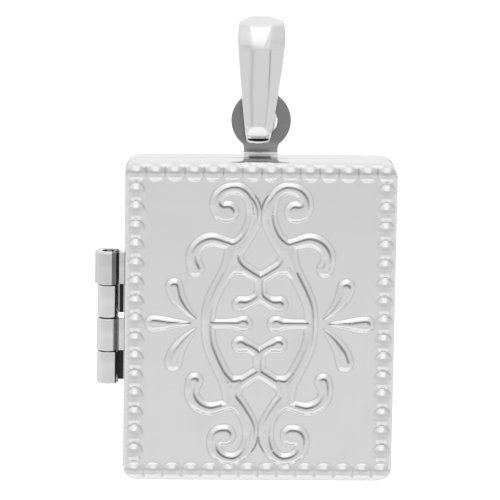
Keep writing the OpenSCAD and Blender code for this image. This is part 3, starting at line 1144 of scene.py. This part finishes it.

# The hinge's painted shade: the heights between its upper and its lower knuckles on both halves, where the
# cover's front ends, what its upper leaf has all over and how softly its lower bands end
COVER_SPLIT_Z = (HINGE_Z + 2.0, HINGE_Z + 2.1)
CASE_SPLIT_Z = (HINGE_Z - 1.0, HINGE_Z - 0.9)
COVER_FRONT_Y = (PART_Y + 0.4, PART_Y + 0.6)
UPPER_COVER_DARK = 0.1
LOWER_COVER_SOFT = 0.05

# Painted shade in bands on the hinge's leaves, as rows of left end, right end and darkness
UPPER_COVER_BANDS = [(-11.48, -11.14, 0.66), (-11.14, -10.93, 0.97)]
LOWER_COVER_BANDS = [(-11.33, -10.9, 0.78)]
UPPER_CASE_BANDS = [
    (-11.24, -11.08, 0.97), (-11.06, -10.96, 0.5), (-10.88, -10.55, 0.98), (-10.47, -9.0, 0.98),
]
LOWER_CASE_BANDS = [(-11.2, -11.07, 0.97), (-11.0, -10.53, 0.98)]

# The painted shade on the bail's shoulders: how far out each one's inner edge is at nought height and how
# much that grows with height, where it begins and is full across that edge, how dark it is, and where both
# show
RIGHT_SHOULDER_X = 0.71
RIGHT_SLANT = 0.39
RIGHT_FADE = (-0.03, 0.03)
RIGHT_DARK = 0.2
LEFT_SHOULDER_X = 1.07
LEFT_SLANT = 0.18
LEFT_FADE = (-0.15, 0.1)
LEFT_DARK = 0.14
SHOULDER_FOOT_Z = (-1.95, -1.3)
SHOULDER_TOP_Z = (-0.35, 0.0)
SHOULDER_BACK_Y = (-0.6, -0.4)

# How much more shade is painted on the ring than on its stem, and the heights between them
RING_DARK = 0.27
RING_FOOT_Z = (-9.9, -9.3)


def band(place, low, high, soft=0.02):
    """One between two places on an axis, fading to nought outside them."""
    return place.step(low - soft, low + soft) * (1 - place.step(high - soft, high + soft))


def bands(place, rows, soft=0.02):
    return sum(dark * band(place, low, high, soft) for low, high, dark in rows)


def stem_patch(finish, place):
    """Painted shade: the dark spot on the locket's top wall in front of the ring's stem."""
    x, y, z = finish.millimetres(place)
    spot = band(x, *SPOT_X) * band(y, *SPOT_Y)
    halo = band(x, *HALO_X) * band(y, *HALO_Y)
    return z.step(*TOP_WALL_Z) * (SPOT_DARK * spot + HALO_DARK * halo)


def cover_gap(finish, place):
    """Painted shade where the cover's knuckles turn in towards the case."""
    x, y, z = finish.millimetres(place)
    top = z.step(*COVER_SPLIT_Z)
    front = 1 - y.step(*COVER_FRONT_Y)
    upper = bands(x, UPPER_COVER_BANDS) + UPPER_COVER_DARK
    lower = bands(x, LOWER_COVER_BANDS, LOWER_COVER_SOFT)
    return front * (top * upper + (1 - top) * lower)


def case_gap(finish, place):
    """Painted shade between the case's knuckles and the case, on their leaves too."""
    x, _, z = finish.millimetres(place)
    top = z.step(*CASE_SPLIT_Z)
    return top * bands(x, UPPER_CASE_BANDS) + (1 - top) * bands(x, LOWER_CASE_BANDS)


def bail_shoulders(finish, place):
    """Painted shade: greyer shoulders on both sides of the bright patch on the bail's round top."""
    x, y, z = finish.millimetres(place)
    right = (x - RIGHT_SLANT * z - RIGHT_SHOULDER_X).step(*RIGHT_FADE)
    left = (-x - LEFT_SLANT * z - LEFT_SHOULDER_X).step(*LEFT_FADE)
    high = z.step(*SHOULDER_FOOT_Z) * (1 - z.step(*SHOULDER_TOP_Z))
    return (RIGHT_DARK * right + LEFT_DARK * left) * high * (1 - y.step(*SHOULDER_BACK_Y))


def tab_painted_shade(finish, place):
    """Painted shade: the ring tab is darker round the ring than on its stem."""
    return RING_DARK * finish.millimetres(place)[2].step(*RING_FOOT_Z)


cover_silver = metal("cover_silver", SILVER, 0.10, stem_patch, attribute="crease")
case_silver = metal("case_silver", SILVER, 0.12, stem_patch)
cover_hinge_silver = metal("cover_hinge_silver", SILVER, 0.14, cover_gap)
case_hinge_silver = metal("case_hinge_silver", SILVER, 0.14, case_gap)
bail_silver = metal("bail_silver", SILVER, 0.15, bail_shoulders, waves=0.6, attribute="crease")
pin_silver = metal("pin_silver", PIN_GREY, 0.2)
# The tab's finish: the silver painted darker as shade, and more so round the ring
tab_shaded_silver = metal("tab_shaded_silver", TAB_SHADED_GREY, 0.22, tab_painted_shade, waves=0.4)

# The pieces. From the top down, the hinge's knuckles are the cover's and the case's by turns.
cover = named(stamped_cover(), "cover_plate")
dress(cover, cover_silver, "cover", "cover_silver", "front_cover")

back = join([plain_back(), stem_ledge()], "back_tray")
dress(back, case_silver, "case", "case_silver", "back_case")

tab = ring_tab()
dress(tab, tab_shaded_silver, "case", "case_silver")

cover_knuckles = join(knuckle(0, COVER_LEAF) + knuckle(2, COVER_LEAF), "cover_knuckles")
dress(cover_knuckles, cover_hinge_silver, "cover", "cover_silver")

case_knuckles = join(knuckle(1, CASE_LEAF) + knuckle(3, CASE_LEAF), "case_knuckles")
dress(case_knuckles, case_hinge_silver, "case", "case_silver")

pin = hinge_pin()
dress(pin, pin_silver, "case", "pin_silver", "hinge_pin")

loop = bail()
dress(loop, bail_silver, "bail", "bail_silver", "bail")


# The studio: a pale floor, sized in metres, and one soft dome of light. What the silver mirrors has the
# levels below, as rows of degrees above level and strength; all else is lit by the plain light.
FLOOR_R = 3.0
FLOOR_Z = -0.045
FLOOR_GREY = 0.9
FLOOR_UNEVEN = 0.02
PLAIN_LIGHT = 1.5
IN_FRONT = [
    (-90, 0.875), (-54, 0.875), (-44, 0.66), (-20, 0.66), (-15.5, 0.72), (-11.3, 0.65), (-7, 0.61),
    (15, 0.62), (24, 1.03), (72, 1.03), (85, 0.84), (90, 0.84),
]
BEHIND = [(-90, 0.875), (-50, 0.82), (-30, 0.77), (-5, 0.77), (3, 0.88), (60, 0.84), (90, 0.84)]

# How the dome changes. A pair says where a change begins and is full, in degrees round from straight ahead
# or above level, or for the sides as a share of the way out. The rear is dimmer below.
FRONT_ENDS = (68, 120)
REAR_FROM = (105, 150)
REAR_FOOT = (-60, -40)
REAR_TOP = (-6, 3)
REAR_DIM = 0.1
ABOVE_FROM = (15, 24)
SIDE_FROM = (0.2, 0.62)
RIGHT_DIM = 0.34
LEFT_DIM = 0.2
LOW_LIFT = 0.04
LIFT_FROM = (15, 60)

# The camera: degrees above level, round to the side and turned on its axis, and millimetres
ELEVATION = 12.7
AZIMUTH = -2.0
ROLL = 0.875
DISTANCE = 300.0
VIEW_W = 39.06
TARGET = (-0.708, 0.0, -18.13)


def pale_floor():
    """The floor, which the silver doesn't mirror."""
    fresh()
    place = (0, 0, FLOOR_Z)
    bpy.ops.mesh.primitive_circle_add(vertices=96, radius=FLOOR_R, fill_type="NGON", location=place)
    ground = named(bpy.context.object, "pale_floor")
    material = bpy.data.materials.new("pale_floor")
    material.use_nodes = True
    finish = Finish(material.node_tree)
    colour = finish.grey(FLOOR_GREY + FLOOR_UNEVEN * finish.noise(finish.place(), 3.0))
    shader = finish.node("ShaderNodeBsdfPrincipled", given={"Base Color": colour, "Roughness": 0.9})
    finish.node("ShaderNodeOutputMaterial", given={"Surface": shader}, out=None)
    paint(ground, material)
    ground.visible_glossy = False


def soft_light():
    """The dome: other levels in front than behind, dimmer to the sides above and at the rear below."""
    world = bpy.data.worlds.new("soft_studio")
    world.use_nodes = True
    bpy.context.scene.world = world
    finish = Finish(world.node_tree)
    x, y, z = finish.split(finish.node("ShaderNodeTexCoord", out="Generated"))
    up = finish.node("ShaderNodeMath", {"operation": "ARCSINE"}, {0: z}) * (180 / math.pi)
    turn = finish.node("ShaderNodeMath", {"operation": "ARCTAN2"}, {0: x, 1: -y}) * (180 / math.pi)
    bearing = turn.size()

    def levels(rows):
        stops = [((degrees + 90) / 180, (level, level, level, 1)) for degrees, level in rows]
        return finish.node("ShaderNodeValToRGB", {"stops": stops}, {"Fac": up / 180 + 0.5})

    ahead = 1 - bearing.step(*FRONT_ENDS)
    rear = bearing.step(*REAR_FROM) * (1 - up.step(*REAR_TOP)) * up.step(*REAR_FOOT)
    above = up.step(*ABOVE_FROM)
    dim = above * (RIGHT_DIM * x.step(*SIDE_FROM) + LEFT_DIM * (-x).step(*SIDE_FROM))
    lift = (1 - above) * LOW_LIFT * bearing.step(*LIFT_FROM)
    level = ahead * (levels(IN_FRONT) - dim + lift) + (1 - ahead) * levels(BEHIND) - REAR_DIM * rear
    mirrored = finish.node("ShaderNodeLightPath", out="Is Glossy Ray")
    strength = level * mirrored + PLAIN_LIGHT * (1 - mirrored)
    shader = finish.node("ShaderNodeBackground", given={"Color": (1, 1, 1, 1), "Strength": strength})
    finish.node("ShaderNodeOutputWorld", given={"Surface": shader}, out=None)
    bpy.context.scene.view_settings.view_transform = "Standard"


def camera():
    """The photo's view: far off, so that it is nearly without perspective."""
    elevation = math.radians(ELEVATION)
    azimuth = math.radians(AZIMUTH)
    level = math.cos(elevation)
    away = Vector((math.sin(azimuth) * level, -math.cos(azimuth) * level, math.sin(elevation)))
    data = bpy.data.cameras.new("photo_view")
    data.sensor_width = 36
    data.lens = data.sensor_width * DISTANCE / VIEW_W
    data.clip_start = 0.01
    data.clip_end = 20
    view = bpy.data.objects.new("photo_view", data)
    bpy.context.scene.collection.objects.link(view)
    turn = (-away).to_track_quat("-Z", "Y").to_matrix().to_4x4()
    roll = Matrix.Rotation(math.radians(ROLL), 4, "Z")
    view.matrix_world = Matrix.Translation((Vector(TARGET) + away * DISTANCE) * MM) @ turn @ roll
    bpy.context.scene.camera = view


pale_floor()
soft_light()
camera()
